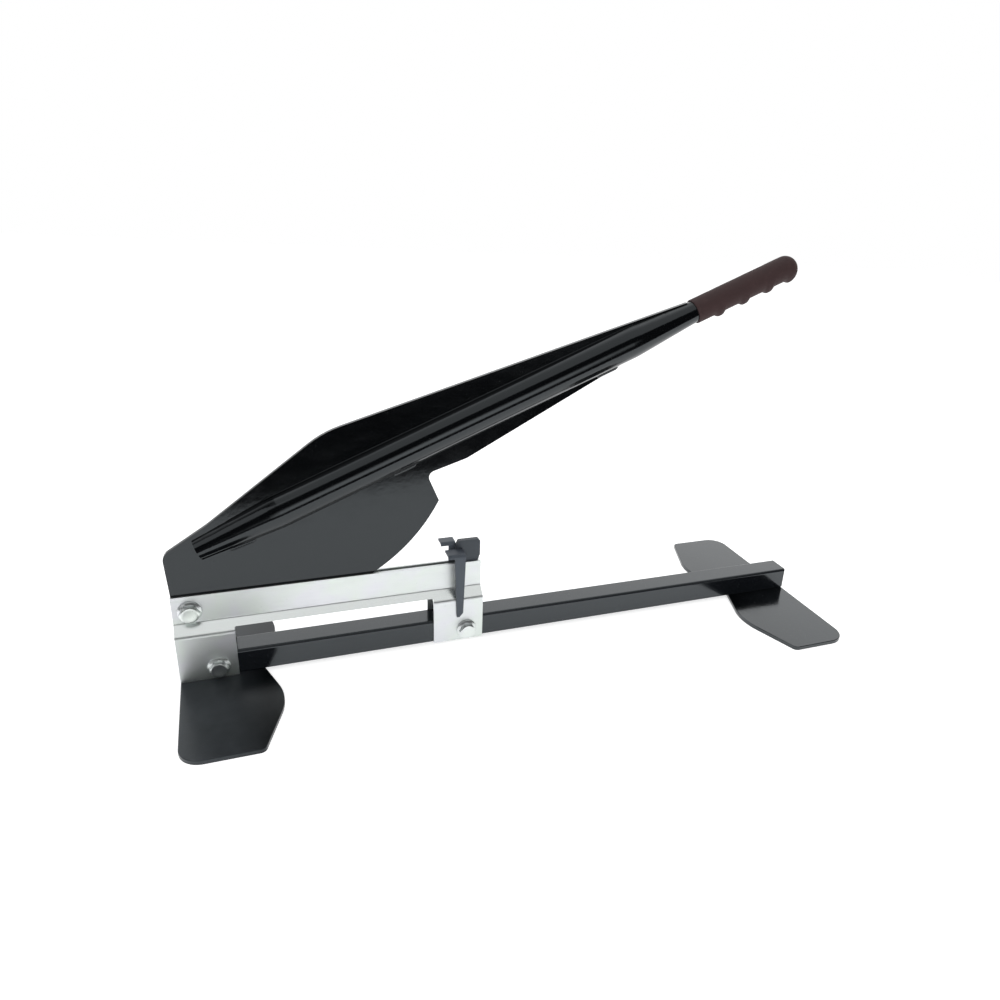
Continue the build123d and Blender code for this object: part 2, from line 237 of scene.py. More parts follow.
class StageSettings(bpy.types.PropertyGroup):
    """Camera and light of the studio."""

    camera_place: bpy.props.FloatVectorProperty(
        name="Camera place",
        description="Where the camera stands",
        subtype="XYZ",
        unit="LENGTH",
        size=3,
        default=(-0.26654, -0.69410, 0.45858),
    )
    camera_yaw: bpy.props.FloatProperty(
        name="Camera yaw",
        description="Turn of the view from straight back towards the free end",
        subtype="ANGLE",
        default=0.38015,
    )
    camera_pitch: bpy.props.FloatProperty(
        name="Camera pitch",
        description="Downward tilt of the view",
        subtype="ANGLE",
        default=0.40507,
    )
    camera_roll: bpy.props.FloatProperty(
        name="Camera roll",
        description="Lean of the camera about its view",
        subtype="ANGLE",
        default=0.05331,
    )
    camera_lens: bpy.props.FloatProperty(
        name="Lens",
        description="Focal length on a 36 mm sensor",
        default=28.487,
    )
    camera_shift: bpy.props.FloatVectorProperty(
        name="Shift",
        description="Shift of the frame to the side and upwards",
        size=2,
        default=(-0.03310, 0.00825),
    )
    key_power: bpy.props.FloatProperty(
        name="Key power",
        description="Power of the large lamp overhead",
        unit="POWER",
        default=15.0,
    )
    fill_power: bpy.props.FloatProperty(
        name="Fill power",
        description="Power of the soft lamp at the left",
        unit="POWER",
        default=2.8,
    )
    front_power: bpy.props.FloatProperty(
        name="Front power",
        description="Power of the wide lamp behind the camera",
        unit="POWER",
        default=13.5,
    )
    floor_front: bpy.props.FloatProperty(
        name="Floor front",
        description="How far the pale floor reaches in front of the cutter",
        unit="LENGTH",
        default=0.452,
    )
    floor_turn: bpy.props.FloatProperty(
        name="Floor turn",
        description="Turn of the floor's front edge against the cutter",
        subtype="ANGLE",
        default=0.25,
    )


class Wire:
    """A socket whose arithmetic adds Math nodes to its material."""

    def __init__(self, finish, socket):
        self.finish = finish
        self.socket = socket

    def sum_up(self, operation, first, second):
        return self.finish.node("ShaderNodeMath", {"operation": operation}, {0: first, 1: second})

    def __add__(self, other):
        return self.sum_up("ADD", self, other)

    def __radd__(self, other):
        return self.sum_up("ADD", other, self)

    def __sub__(self, other):
        return self.sum_up("SUBTRACT", self, other)

    def __rsub__(self, other):
        return self.sum_up("SUBTRACT", other, self)

    def __mul__(self, other):
        return self.sum_up("MULTIPLY", self, other)

    def __rmul__(self, other):
        return self.sum_up("MULTIPLY", other, self)


class Finish:
    """A node tree that is written as expressions."""

    def __init__(self, tree):
        self.tree = tree
        self.tree.nodes.clear()

    def node(self, kind, settings, inputs, output=0):
        made = self.tree.nodes.new(kind)
        for key, value in settings.items():
            setattr(made, key, value)
        for key, value in inputs.items():
            if isinstance(value, Wire):
                self.tree.links.new(value.socket, made.inputs[key])
            elif value is not None:
                made.inputs[key].default_value = value
        return Wire(self, made.outputs[output]) if made.outputs else made

    def place(self):
        return self.node("ShaderNodeTexCoord", {}, {}, "Object")

    def stretch(self, vector, scale):
        return self.node("ShaderNodeMapping", {}, {"Vector": vector, "Scale": scale})

    def noise(self, vector, scale, detail=2.0, rough=0.5, warp=0.0):
        values = {
            "Vector": vector,
            "Scale": scale,
            "Detail": detail,
            "Roughness": rough,
            "Distortion": warp,
        }
        return self.node("ShaderNodeTexNoise", {}, values, "Fac")

    def spread(self, value, low, high, start=0.0, end=1.0):
        values = {"Value": value, 1: low, 2: high, 3: start, 4: end}
        return self.node("ShaderNodeMapRange", {"clamp": True}, values)

    def blend(self, factor, first, second):
        values = {0: factor, 6: (*first, 1.0) if isinstance(first, tuple) else first}
        values[7] = (*second, 1.0) if isinstance(second, tuple) else second
        return self.node("ShaderNodeMix", {"data_type": "RGBA"}, values, 2)

    def bump(self, height, strength, distance):
        values = {"Strength": strength, "Distance": distance, "Height": height}
        return self.node("ShaderNodeBump", {}, values)

    def axis(self, vector, name):
        return self.node("ShaderNodeSeparateXYZ", {}, {"Vector": vector}, name)

    def surface(self, inputs):
        shader = self.node("ShaderNodeBsdfPrincipled", {}, inputs)
        self.node("ShaderNodeOutputMaterial", {}, {"Surface": shader})


def new_finish(name):
    """An empty material and the writer of its nodes."""
    material = bpy.data.materials.new(name)
    material.use_nodes = True
    return material, Finish(material.node_tree)


def shade(colour, factor):
    """A colour made lighter or darker by a factor."""
    return tuple(min(1.0, part * factor) for part in colour)


def enamel_finish(name, settings, gloss=1.0, body=1.0, chalk=0.0, index=1.6, rolled=None):
    """Black powder coat: orange peel, haze, dust, chalky outer ends and a soft roll below a top edge."""
    chalk_start, chalk_full = 0.262, 0.30
    chalk_grey = (0.034, 0.039, 0.044)
    dust_grey = (0.11, 0.11, 0.11)
    peel_height = 0.032 * MM
    roll_start, roll_end, roll_depth = 3.6 * MM, 1.2 * MM, 0.9 * MM
    material, paint = new_finish(name)
    place = paint.place()
    cloud = paint.noise(place, 9.0, 3.0, 0.55)
    haze = paint.noise(paint.stretch(place, (1.0, 1.0, 2.5)), 38.0, 4.0, 0.6, 0.4)
    specks = paint.spread(paint.noise(place, 900.0, 1.0, 0.4), 0.735, 0.80)
    black = shade(settings.enamel, body)
    coat = paint.blend(cloud, shade(black, 0.75), shade(black, 1.35))
    if chalk:
        outward = paint.node("ShaderNodeMath", {"operation": "ABSOLUTE"}, {0: paint.axis(place, "X")})
        faded = paint.spread(outward, chalk_start, chalk_full) * paint.spread(haze, 0.25, 0.65, 0.65, 1.0)
        coat = paint.blend(faded * chalk, coat, chalk_grey)
    dusty = paint.blend(specks * 0.2, coat, dust_grey)
    wear = paint.spread(haze, 0.42, 0.78)
    rough = settings.enamel_roughness * gloss + wear * 0.07 + specks * 0.2
    peel = paint.noise(place, 260.0, 2.0, 0.45)
    grain = paint.noise(place, 1400.0, 1.0, 0.5)
    height = (peel + grain * 0.12) * peel_height
    if rolled:
        reach = paint.spread(paint.axis(place, "Z"), rolled - roll_start, rolled - roll_end)
        height = height - reach * reach * roll_depth
    normal = paint.bump(height, 1.0, 1.0)
    paint.surface(
        {
            "Base Color": dusty,
            "Roughness": rough,
            "IOR": index,
            "Specular Tint": (0.80, 0.87, 0.91, 1.0),
            "Normal": normal,
        }
    )
    return material


def zinc_finish(name, settings, roughness, spotting=0.22, streak=(6.0, 60.0, 60.0), bend=None):
    """Bright zinc plate: rolled streaks, cloudy passivation, a faint green to lilac cast, and on the bends
    a painted highlight with smoother, flatter zinc.
    """
    bend_rise, bend_fade, bend_roughness = 2.0 * MM, 1.0 * MM, 0.24
    material, plate = new_finish(name)
    place = plate.place()
    rolled = plate.noise(plate.stretch(place, streak), 9.0, 3.0, 0.6)
    cloud = plate.noise(place, 26.0, 3.0, 0.55, 0.6)
    fine = plate.noise(plate.stretch(place, streak), 60.0, 2.0, 0.6)
    spots = plate.spread(plate.noise(place, 420.0, 2.0, 0.5), 0.66, 0.8)
    zinc = tuple(settings.zinc)
    green = (zinc[0] * 0.98, zinc[1] * 1.01, zinc[2] * 0.97)
    lilac = (zinc[0] * 1.0, zinc[1] * 0.975, zinc[2] * 1.03)
    cast = plate.blend(plate.spread(cloud, 0.35, 0.65), green, lilac)
    rough = roughness + plate.spread(rolled, 0.3, 0.7) * 0.10 + spots * 0.12
    relief = fine + rolled * 0.6
    if bend:
        # Painted highlight: the bend band gets a paler zinc colour, and there also a lower roughness and a
        # flatter relief.
        height = plate.axis(place, "Z")
        pale_mask = plate.spread(height, bend[0], bend[0] + bend_rise)
        pale_mask = pale_mask * plate.spread(height, bend[1] - bend_fade, bend[1], 1.0, 0.0)
        cast = plate.blend(pale_mask, cast, shade(zinc, 1.32))
        rough = rough * (1.0 - pale_mask) + pale_mask * bend_roughness
        relief = relief * (1.0 - pale_mask)
    dull = plate.blend(spots * spotting, cast, shade(zinc, 0.62))
    normal = plate.bump(relief, 0.05, 0.4 * MM)
    plate.surface(
        {
            "Base Color": dull,
            "Metallic": 1.0,
            "Roughness": rough,
            "Normal": normal,
        }
    )
    return material


def bronze_finish():
    """Sintered bronze: a porous, warm, half-dull metal."""
    material, bronze = new_finish("sintered_bronze")
    place = bronze.place()
    pores = bronze.spread(bronze.noise(place, 2200.0, 2.0, 0.5), 0.55, 0.7)
    tone = bronze.noise(place, 180.0, 2.0, 0.5)
    body = bronze.blend(tone, (0.42, 0.27, 0.12), (0.56, 0.38, 0.19))
    normal = bronze.bump(1.0 - pores, 0.15, 0.2 * MM)
    bronze.surface(
        {
            "Base Color": body,
            "Metallic": 1.0,
            "Roughness": 0.38 + pores * 0.25,
            "Normal": normal,
        }
    )
    return material


def vinyl_finish(settings):
    """Dipped vinyl: matte brown with a fine skin, paler in scattered worn patches."""
    material, dip = new_finish("grip_vinyl")
    place = dip.place()
    skin = dip.noise(place, 1500.0, 2.0, 0.5)
    cloud = dip.noise(place, 60.0, 3.0, 0.5)
    pale_mask = dip.spread(dip.noise(place, 210.0, 3.0, 0.6), 0.55, 0.75)
    vinyl = tuple(settings.vinyl)
    body = dip.blend(cloud, shade(vinyl, 0.85), shade(vinyl, 1.15))
    worn = dip.blend(pale_mask * 0.25, body, shade(vinyl, 1.7))
    normal = dip.bump(skin + cloud * 0.5, 0.12, 0.3 * MM)
    dip.surface(
        {
            "Base Color": worn,
            "Roughness": 0.62 + cloud * 0.14,
            "Specular IOR Level": 0.3,
            "Normal": normal,
        }
    )
    return material


def dress(material, *names):
    """Give CAD nodes a finish."""
    for name in names:
        slots = frame["nodes"][name].data.materials
        slots.clear()
        slots.append(material)


def only(obj=None):
    """Leave one object, or nothing, selected."""
    bpy.ops.object.select_all(action="DESELECT")
    if obj is not None:
        obj.select_set(True)
        bpy.context.view_layer.objects.active = obj


def handle_point(along, above, across=0.0):
    """A point by the handle in the rest pose, in millimetres along and above its axis."""
    root = Matrix.Rotation(-LEVER_OPENING, 3, "Y") @ Vector((0.0, 0.0, HANDLE_HEIGHT))
    turn = Matrix.Rotation(-LEVER_OPENING - HANDLE_SLOPE, 3, "Y")
    return PIVOT + (root + turn @ Vector((along, across, above))) * MM


def settle(piece, place, along, up):
    """Put a piece that was drawn along Z where it belongs, with its place in its mesh."""
    along = along.normalized()
    across = up.cross(along).normalized()
    turn = Matrix((across, along.cross(across), along)).transposed().to_4x4()
    piece.matrix_world = Matrix.Translation(place) @ turn
    only(piece)
    bpy.ops.object.transform_apply(location=True, rotation=True, scale=True)


def combine(piece, tool, operation):
    """Cut or join a piece with a tool, which is used up, and merge the points that coincide."""
    only(piece)
    step = piece.modifiers.new("shape", "BOOLEAN")
    step.operation = operation
    step.solver = "EXACT"
    step.object = tool
    bpy.ops.object.modifier_apply(modifier=step.name)
    bpy.data.objects.remove(tool)
    bpy.ops.object.mode_set(mode="EDIT")
    bpy.ops.mesh.select_all(action="SELECT")
    bpy.ops.mesh.remove_doubles(threshold=CUT_GAP)
    bpy.ops.object.mode_set(mode="OBJECT")


def twin(piece, name):
    """A copy of a piece with a mesh of its own."""
    only(piece)
    bpy.ops.object.duplicate()
    copy = bpy.context.object
    copy.name = copy.data.name = name
    return copy


def deliver(piece, material, body, slot, *nodes):
    """Smooth a finished piece, give it its finish and let it stand for CAD nodes."""
    only(piece)
    bpy.ops.object.shade_smooth_by_angle(angle=SMOOTH_ANGLE)
    piece.data.materials.clear()
    piece.data.materials.append(material)
    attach(piece, body)
    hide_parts(*nodes)


class Turning:
    """A ring of points that is drawn along Z and sized as it goes, as on a lathe."""

    def __init__(self, name, points, along, width):
        only()
        bpy.ops.mesh.primitive_circle_add(vertices=points, radius=width)
        self.piece = bpy.context.object
        self.piece.name = self.piece.data.name = name
        bpy.ops.object.mode_set(mode="EDIT")
        bpy.ops.mesh.select_all(action="SELECT")
        bpy.ops.transform.translate(value=(0.0, 0.0, along))
        self.along, self.middle = along, 0.0
        self.width = self.height = width

    def draw(self, along, width, height=None, middle=0.0):
        height = width if height is None else height
        step = (0.0, middle - self.middle, along - self.along)
        bpy.ops.mesh.extrude_region_move(TRANSFORM_OT_translate={"value": step})
        size = (width / self.width, height / self.height, 1.0)
        bpy.ops.transform.resize(value=size, center_override=(0.0, middle, along))
        self.along, self.middle = along, middle
        self.width, self.height = width, height

    def trace(self, *rings):
        for along, width in rings:
            self.draw(along, width)

    def tip(self, along):
        step = (0.0, 0.0, along - self.along)
        bpy.ops.mesh.extrude_region_move(TRANSFORM_OT_translate={"value": step})
        bpy.ops.mesh.merge(type="CENTER")

    def seal(self):
        bpy.ops.mesh.select_all(action="SELECT")
        bpy.ops.mesh.remove_doubles(threshold=RING_GAP)
        bpy.ops.mesh.select_all(action="DESELECT")
        bpy.ops.mesh.select_non_manifold()
        bpy.ops.object.mode_set(mode="OBJECT")
        is_open = any(point.select for point in self.piece.data.vertices)
        bpy.ops.object.mode_set(mode="EDIT")
        if is_open:
            bpy.ops.mesh.edge_face_add()
        bpy.ops.mesh.select_all(action="SELECT")
        bpy.ops.mesh.normals_make_consistent(inside=False)
        bpy.ops.object.mode_set(mode="OBJECT")
        return self.piece


def hexagon_bar(name, flats, low, high):
    """A hexagon bar along Z with a corner on the X axis."""
    only()
    bpy.ops.mesh.primitive_cylinder_add(
        vertices=6,
        radius=flats / math.sqrt(3.0),
        depth=high - low,
        location=(0.0, 0.0, (low + high) / 2),
        rotation=(0.0, 0.0, math.pi / 2),
    )
    bar = bpy.context.object
    bar.name = bar.data.name = name
    bpy.ops.object.transform_apply(location=True, rotation=True, scale=True)
    return bar


def flange_bolt(name, settings, diameter, flats, flange, head, length):
    """A hexagon flange bolt with its seat at the origin and its shank below."""
    corner = flats / math.sqrt(3.0)
    face, rim, shaft = flats / 2, flange / 2, diameter / 2
    half_pitch = settings.thread_pitch / 2
    root = shaft - 0.55 * settings.thread_pitch
    crest = -length + BOLT_CHAMFER
    shank = Turning(f"{name}_shank", ROUND_POINTS, -length, diameter * 0.4)
    shank.draw(crest, shaft)
    for turn in range(THREAD_TURNS):
        crest += half_pitch
        shank.draw(crest, root)
        crest += half_pitch
        shank.draw(crest, shaft)
    skirt_top = 3.1 * MM
    shank.trace(
        (-0.1 * MM, shaft),
        (0.0, shaft + 0.2 * MM),
        (0.0, rim - 0.5 * MM),
        (0.15 * MM, rim - 0.12 * MM),
        (0.5 * MM, rim),
        (1.1 * MM, rim),
        (1.45 * MM, rim - 0.2 * MM),
        (1.65 * MM, rim - 0.55 * MM),
        (2.7 * MM, corner * 0.93),
        (skirt_top, face * 0.9),
    )
    shank.tip(skirt_top)
    bolt = shank.seal()
    blank = Turning(f"{name}_blank", ROUND_POINTS, 0.6 * MM, corner * 1.05)
    blank.trace(
        (head - 1.5 * MM, corner * 1.02),
        (head - 0.5 * MM, face * 0.985),
        (head - 0.12 * MM, face * 0.93),
        (head, face * 0.84),
        (head - 0.25 * MM, face * 0.6),
    )
    blank.tip(head - 0.3 * MM)
    dome = blank.seal()
    hexagon = hexagon_bar(f"{name}_head", flats, 0.8 * MM, head + 1.0 * MM)
    combine(hexagon, dome, "INTERSECT")
    combine(bolt, hexagon, "UNION")
    bolt.name = bolt.data.name = name
    return bolt


def lock_nut(name, diameter, flats, height):
    """A hexagon nut with chamfered corners and a round collar that holds its insert."""
    corner, face = flats / math.sqrt(3.0), flats / 2
    collar = height - NUT_COLLAR
    bore = diameter / 2 + 0.05 * MM
    mouth = 0.5 * MM
    blank = Turning(f"{name}_blank", ROUND_POINTS, mouth, bore)
    blank.trace(
        (0.0, bore + 0.5 * MM),
        (0.0, face * 0.97),
        (NUT_CHAMFER, corner * 1.02),
        (collar - NUT_CHAMFER, corner * 1.02),
        (collar, face * 0.97),
        (collar, face - 0.9 * MM),
        (height - 1.0 * MM, face - 0.9 * MM),
        (height - 0.3 * MM, face - 1.15 * MM),
        (height, face - 1.7 * MM),
        (height, bore + 0.3 * MM),
        (height - 0.3 * MM, bore),
        (mouth, bore),
    )
    turned = blank.seal()
    nut = hexagon_bar(name, flats, -0.5 * MM, height + 0.5 * MM)
    combine(nut, turned, "INTERSECT")
    return nut


def weld_bead(name, settings, length):
    """A weld bead along Z: scales that overlap like fallen coins, tapered at both ends."""
    radius = settings.bead_radius
    ripple = ((0.15, 0.90), (0.45, 1.0), (0.75, 0.97), (0.95, 0.86))
    bead = Turning(name, BEAD_POINTS, 0.0, 0.35 * radius)
    scales = max(3, round(length / settings.bead_pitch))
    for scale in range(scales):
        for part, swell in ripple:
            along = (scale + part) / scales
            taper = min(1.0, 0.62 + 3.5 * min(along, 1.0 - along))
            bead.draw(along * length, radius * swell * taper)
    bead.tip(length)
    return bead.seal()


class TILECUTTER_OT_paint_steel(bpy.types.Operator):
    """Paint the base, the blade plate and its handle gloss black, and the stop and guides a duller black"""

    bl_idname = "tilecutter.paint_steel"
    bl_label = "Paint steel"

    def execute(self, context):
        settings = context.scene.tilecutter_finish
        dress(enamel_finish("lever_enamel", settings), "lever_plate", "handle_tube")
        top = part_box("base_tube")[1].z
        paint = enamel_finish("base_enamel", settings, gloss=1.3, body=4.0, index=1.68, rolled=top)
        dress(paint, "base_tube")
        paint = enamel_finish("left_foot_enamel", settings, gloss=2.8, body=1.2, chalk=1.0, index=1.46)
        dress(paint, "left_foot")
        paint = enamel_finish("right_foot_enamel", settings, gloss=1.2, body=1.2, chalk=0.2, index=1.72)
        dress(paint, "right_foot")
        dress(enamel_finish("stop_enamel", settings, gloss=4.5, body=15.0), "lever_stop")
        dress(enamel_finish("guide_enamel", settings, gloss=4.5, body=30.0), "front_guide", "rear_guide")
        return {"FINISHED"}


class TILECUTTER_OT_lay_welds(bpy.types.Operator):
    """Lay the weld beads along the handle's seams and behind the base tube"""

    bl_idname = "tilecutter.lay_welds"
    bl_label = "Lay welds"

    def stitches(self, settings, paint):
        master = weld_bead("handle_bead", settings, STITCH_LENGTH * MM)
        swell = HANDLE_RADIUS - HANDLE_NOSE_RADIUS
        beads = []
        for place in STITCH_PLACES:
            for side in STITCH_SIDES:
                ends = []
                for along in (place, place + STITCH_LENGTH):
                    radius = HANDLE_NOSE_RADIUS + min(1.0, along / HANDLE_SWAGE) * swell
                    drop = math.sqrt(radius**2 - side**2)
                    ends.append(handle_point(HANDLE_START + along, -drop, side))
                bead = twin(master, f"handle_bead_{len(beads)}")
                settle(bead, ends[0], ends[1] - ends[0], UP)
                beads.append(bead)
        bpy.data.objects.remove(master)
        self.join(beads, "handle_beads")
        deliver(beads[0], paint, "lever", "black_paint", "handle_welds")

    def feet(self, settings, paint):
        low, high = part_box("foot_welds")
        corner = Vector((0.0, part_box("base_tube")[1].y, low.z))
        beads = []
        for start, length in ((low.x, LEFT_WELD), (high.x - RIGHT_WELD, RIGHT_WELD)):
            bead = weld_bead(f"foot_bead_{len(beads)}", settings, length)
            settle(bead, corner + Vector((start, 0.0, 0.0)), Vector((1.0, 0.0, 0.0)), UP)
            beads.append(bead)
        self.join(beads, "foot_beads")
        deliver(beads[0], paint, "base", "black_paint", "foot_welds")

    def join(self, beads, name):
        only(beads[0])
        for bead in beads:
            bead.select_set(True)
        bpy.ops.object.join()
        beads[0].name = beads[0].data.name = name

    def execute(self, context):
        settings = context.scene.tilecutter_piece
        paint = enamel_finish("weld_enamel", context.scene.tilecutter_finish, gloss=1.4)
        self.stitches(settings, paint)
        self.feet(settings, paint)
        return {"FINISHED"}


class TILECUTTER_OT_plate_jaws(bpy.types.Operator):
    """Plate the two jaws with bright zinc"""

    bl_idname = "tilecutter.plate_jaws"
    bl_label = "Plate jaws"

    def execute(self, context):
        settings = context.scene.tilecutter_finish
        zinc = zinc_finish("jaw_zinc", settings, settings.zinc_roughness, bend=JAW_BEND)
        dress(zinc, "front_jaw", "rear_jaw")
        return {"FINISHED"}


class TILECUTTER_OT_turn_fasteners(bpy.types.Operator):
    """Turn the bolts and nuts, plate them with their washers, and give the pivot bush its bronze"""

    bl_idname = "tilecutter.turn_fasteners"
    bl_label = "Turn fasteners"

    def sizes(self, place):
        bolt_low, bolt_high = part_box(f"{place}_bolt")
        nut_low, nut_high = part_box(f"{place}_nut")
        seat = -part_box(f"{place}_washer")[0].y
        middle = (bolt_low + bolt_high) / 2
        middle.y = seat
        flange = bolt_high.x - bolt_low.x
        length = bolt_high.y - seat
        return middle, nut_low, nut_high.z - nut_low.z, flange, seat - bolt_low.y, length

    def execute(self, context):
        settings = context.scene.tilecutter_piece
        finish = context.scene.tilecutter_finish
        zinc = zinc_finish("fastener_zinc", finish, 0.27, spotting=0.308, streak=(40.0, 40.0, 40.0))
        models = {}
        for place in ("pivot", "left_leg", "right_leg"):
            middle, nut_low, flats, flange, head, length = self.sizes(place)
            key = round(flats / MM, 2)
            if key not in models:
                bolt = flange_bolt("bolt_model", settings, BOLT_SIZE, flats, flange, head, length)
                models[key] = bolt, lock_nut("nut_model", BOLT_SIZE, flats, NUT_HEIGHT)
            bolt = twin(models[key][0], f"{place}_flange_bolt")
            settle(bolt, middle, Vector((0.0, -1.0, 0.0)), UP)
            deliver(bolt, zinc, "base", "zinc_fasteners", f"{place}_bolt")
            nut = twin(models[key][1], f"{place}_lock_nut")
            seat = Vector((middle.x, nut_low.y, middle.z))
            settle(nut, seat, Vector((0.0, 1.0, 0.0)), UP)
            deliver(nut, zinc, "base", "zinc_fasteners", f"{place}_nut")
            dress(zinc, f"{place}_washer")
        for bolt, nut in models.values():
            bpy.data.objects.remove(bolt)
            bpy.data.objects.remove(nut)
        dress(bronze_finish(), "pivot_bush")
        return {"FINISHED"}


class TILECUTTER_OT_dip_grip(bpy.types.Operator):
    """Draw the grip with its finger ridges and give it dipped vinyl"""

    bl_idname = "tilecutter.dip_grip"
    bl_label = "Dip grip"

    def depth(self, settings, along):
        """How far the underside stands below the sleeve at a distance from the mouth."""
        lobe = settings.grip_length - GRIP_LOBE
        places = [settings.ridge_first + n * settings.ridge_pitch for n in range(settings.ridge_count)]
        gaps = [abs(along - place) for place in places] + [max(0.0, lobe - along)]
        rise = (settings.ridge_reach - min(gaps)) / (settings.ridge_reach - RIDGE_CREST)
        rise = max(0.0, min(1.0, rise))
        return settings.ridge_height * rise * rise * (3.0 - 2.0 * rise)

    def execute(self, context):
        settings = context.scene.tilecutter_piece
        radius, bore = settings.grip_radius, settings.grip_bore
        deep = settings.grip_length - settings.grip_end_wall
        sleeve = Turning("dipped_grip", ROUND_POINTS, deep, bore)
        sleeve.trace(
            (0.0, bore),
            (0.0, radius - 0.8 * MM),
            (0.25 * MM, radius - 0.25 * MM),
            (GRIP_LIP, radius),
        )
        swell = settings.ridge_height / 2
        dome = radius + swell
        start = settings.grip_length - dome
        steps = round(start / GRIP_STEP)
        for step in range(1, steps + 1):
            along = GRIP_LIP + (start - GRIP_LIP) * step / steps
            depth = self.depth(settings, along)
            sleeve.draw(along, radius + depth * RIDGE_SIDES, radius + depth / 2, -depth / 2)
        full = radius + settings.ridge_height * RIDGE_SIDES
        for step in range(1, DOME_RINGS):
            angle = math.pi / 2 * step / DOME_RINGS
            shrink = math.cos(angle)
            sleeve.draw(start + dome * math.sin(angle), full * shrink, dome * shrink, -swell)
        sleeve.tip(settings.grip_length)
        grip = sleeve.seal()
        mouth = handle_point(GRIP_START, 0.0)
        axis = handle_point(GRIP_START + 1.0, 0.0) - mouth
        settle(grip, mouth, axis, handle_point(GRIP_START, 1.0) - mouth)
        vinyl = vinyl_finish(context.scene.tilecutter_finish)
        deliver(grip, vinyl, "lever", "grip_vinyl", "grip")
        return {"FINISHED"}


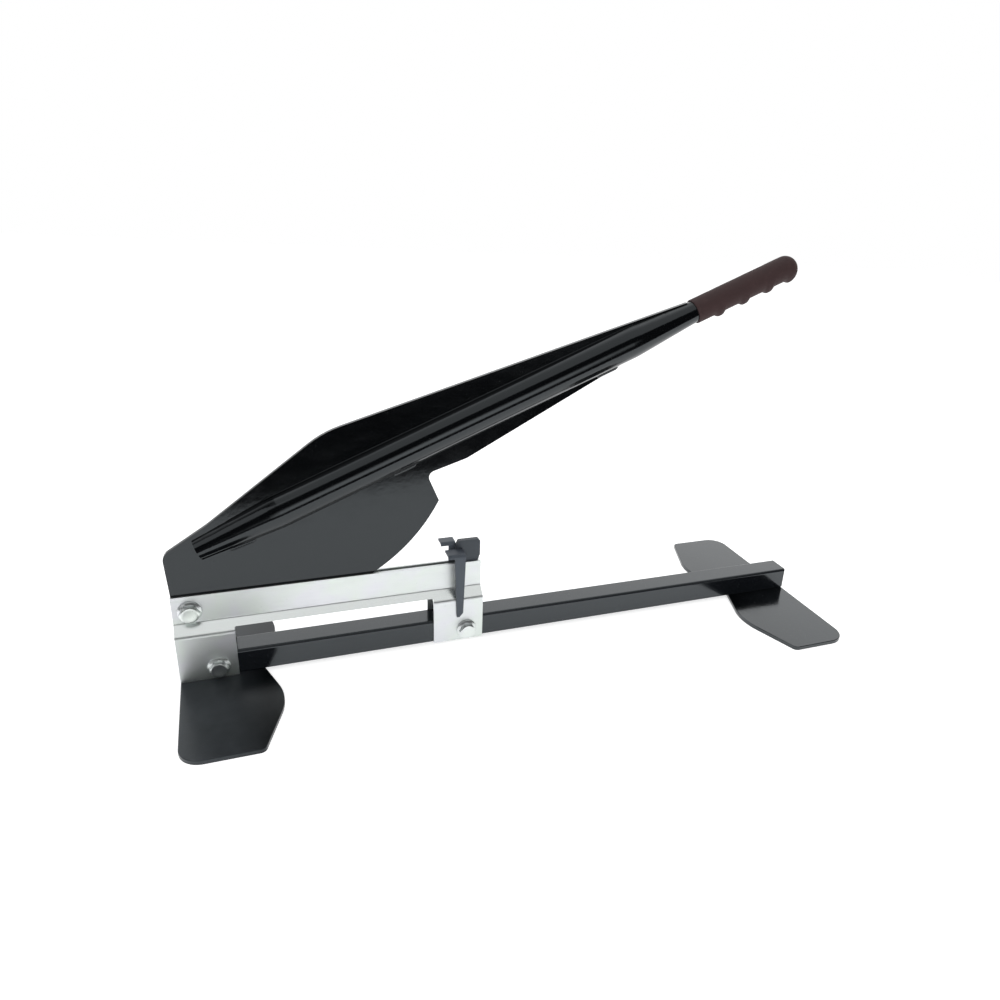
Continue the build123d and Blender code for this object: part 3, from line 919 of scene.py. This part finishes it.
class TILECUTTER_OT_set_stage(bpy.types.Operator):
    """Lay the floor, hang the lamps and place the camera"""

    bl_idname = "tilecutter.set_stage"
    bl_label = "Set stage"

    def floor(self, settings):
        width, back, glow = 6.0, 4.0, 0.71
        only()
        bpy.ops.mesh.primitive_plane_add(size=1.0)
        floor = bpy.context.object
        floor.name = "studio_floor"
        bpy.ops.object.mode_set(mode="EDIT")
        bpy.ops.mesh.select_all(action="SELECT")
        front = settings.floor_front
        bpy.ops.transform.resize(value=(width, back + front, 1.0))
        bpy.ops.transform.translate(value=(0.0, back / 2 - front / 2, 0.0))
        bpy.ops.mesh.subdivide(number_cuts=4)
        bpy.ops.object.mode_set(mode="OBJECT")
        floor.matrix_world = Matrix.Rotation(-settings.floor_turn, 4, "Z")
        bpy.ops.object.transform_apply(location=True, rotation=True, scale=True)
        material, sheet = new_finish("floor_paper")
        place = sheet.place()
        fibre = sheet.noise(place, 600.0, 2.0, 0.5)
        paper = sheet.blend(fibre, (0.86, 0.86, 0.86), (0.90, 0.90, 0.90))
        matte = sheet.node("ShaderNodeBsdfDiffuse", {}, {"Color": paper})
        white = sheet.node("ShaderNodeEmission", {}, {"Color": WHITE, "Strength": glow})
        bright = sheet.node("ShaderNodeAddShader", {}, {0: matte, 1: white})
        seen = sheet.node("ShaderNodeLightPath", {}, {}, "Is Camera Ray")
        mirrored = sheet.node("ShaderNodeLightPath", {}, {}, "Is Glossy Ray")
        through = sheet.node("ShaderNodeLightPath", {}, {}, "Is Transmission Ray")
        shown = seen + mirrored + through
        mixed = sheet.node("ShaderNodeMixShader", {}, {0: shown, 1: matte, 2: bright})
        sheet.node("ShaderNodeOutputMaterial", {}, {"Surface": mixed})
        floor.data.materials.append(material)

    def world(self, scene):
        world = bpy.data.worlds.new("studio_world")
        scene.world = world
        world.use_nodes = True
        sky = Finish(world.node_tree)
        direction = sky.node("ShaderNodeTexCoord", {}, {}, "Generated")
        across = sky.axis(direction, "X")
        back = sky.spread(sky.axis(direction, "Y"), -0.10, 0.35)
        up = sky.axis(direction, "Z")
        ceiling = sky.spread(up, 0.55, 0.95, 0.02, 0.05)
        sill = sky.spread(up, -0.21, -0.13) * sky.spread(up, 0.08, 0.26, 1.0, 0.0)
        window = sill * sky.spread(across, -0.32, -0.12) * sky.spread(across, 0.28, 0.44, 1.6, 0.0)
        wall = sky.spread(up, 0.05, 0.32, 0.70, 1.45) * sky.spread(up, 0.45, 0.95, 1.0, 0.4)
        light = (ceiling + window) * (1.0 - back) + wall * back
        room = sky.node("ShaderNodeBackground", {}, {"Color": WHITE, "Strength": light})
        white = sky.node("ShaderNodeBackground", {}, {"Color": WHITE, "Strength": 1.0})
        seen = sky.node("ShaderNodeLightPath", {}, {}, "Is Camera Ray")
        through = sky.node("ShaderNodeLightPath", {}, {}, "Is Transmission Ray")
        mixed = sky.node("ShaderNodeMixShader", {}, {0: seen + through, 1: room, 2: white})
        sky.node("ShaderNodeOutputWorld", {}, {"Surface": mixed})

    def lamp(self, name, power, size, place, target):
        only()
        bpy.ops.object.light_add(type="AREA", location=place)
        lamp = bpy.context.object
        lamp.name = name
        lamp.data.energy = power
        lamp.data.shape = "RECTANGLE"
        lamp.data.size = size[0]
        lamp.data.size_y = size[1]
        aim = Vector(target) - Vector(place)
        lamp.rotation_euler = aim.to_track_quat("-Z", "Y").to_euler()
        return lamp

    def camera(self, scene, settings):
        only()
        bpy.ops.object.camera_add(location=settings.camera_place)
        camera = bpy.context.object
        camera.name = "studio_camera"
        turn = Matrix.Rotation(-settings.camera_yaw, 3, "Z")
        tilt = Matrix.Rotation(math.pi / 2 - settings.camera_pitch, 3, "X")
        roll = Matrix.Rotation(settings.camera_roll, 3, "Z")
        camera.rotation_euler = (turn @ tilt @ roll).to_euler()
        camera.data.sensor_fit = "HORIZONTAL"
        camera.data.sensor_width = SENSOR_WIDTH
        camera.data.lens = settings.camera_lens
        camera.data.shift_x, camera.data.shift_y = settings.camera_shift
        camera.data.clip_start = 0.01
        scene.camera = camera

    def execute(self, context):
        scene = context.scene
        settings = scene.tilecutter_stage
        self.floor(settings)
        self.world(scene)
        self.lamp(
            name="key_lamp",
            power=settings.key_power,
            size=(3.0, 2.2),
            place=(0.3, -0.40, 1.75),
            target=(0.3, -0.3, 0.0),
        )
        self.lamp(
            name="fill_lamp",
            power=settings.fill_power,
            size=(0.9, 1.2),
            place=(-1.4, -0.7, 0.9),
            target=(0.0, 0.0, 0.1),
        )
        front = self.lamp(
            name="front_lamp",
            power=settings.front_power,
            size=(2.0, 1.2),
            place=(0.1, -1.6, 0.4),
            target=(0.1, 0.0, 0.3),
        )
        front.visible_glossy = False
        self.camera(scene, settings)
        scene.view_settings.view_transform = "Standard"
        return {"FINISHED"}


class TILECUTTER_PT_panel(bpy.types.Panel):
    """Lists the steps that dress the tile cutter"""

    bl_idname = "TILECUTTER_PT_panel"
    bl_label = "Tile cutter"
    bl_space_type = "VIEW_3D"
    bl_region_type = "UI"
    bl_category = "Tile cutter"

    def draw(self, context):
        for step in STEPS:
            self.layout.operator(step.bl_idname)


STEPS = (
    TILECUTTER_OT_paint_steel,
    TILECUTTER_OT_lay_welds,
    TILECUTTER_OT_plate_jaws,
    TILECUTTER_OT_turn_fasteners,
    TILECUTTER_OT_dip_grip,
    TILECUTTER_OT_set_stage,
)
CLASSES = (FinishSettings, PieceSettings, StageSettings, *STEPS, TILECUTTER_PT_panel)


def register():
    for item in CLASSES:
        bpy.utils.register_class(item)
    bpy.types.Scene.tilecutter_finish = bpy.props.PointerProperty(type=FinishSettings)
    bpy.types.Scene.tilecutter_piece = bpy.props.PointerProperty(type=PieceSettings)
    bpy.types.Scene.tilecutter_stage = bpy.props.PointerProperty(type=StageSettings)


def unregister():
    del bpy.types.Scene.tilecutter_stage
    del bpy.types.Scene.tilecutter_piece
    del bpy.types.Scene.tilecutter_finish
    for item in reversed(CLASSES):
        bpy.utils.unregister_class(item)


def main():
    """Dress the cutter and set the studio."""
    register()
    bpy.ops.tilecutter.paint_steel()
    bpy.ops.tilecutter.lay_welds()
    bpy.ops.tilecutter.plate_jaws()
    bpy.ops.tilecutter.turn_fasteners()
    bpy.ops.tilecutter.dip_grip()
    bpy.ops.tilecutter.set_stage()


if __name__ == "__main__":
    main()
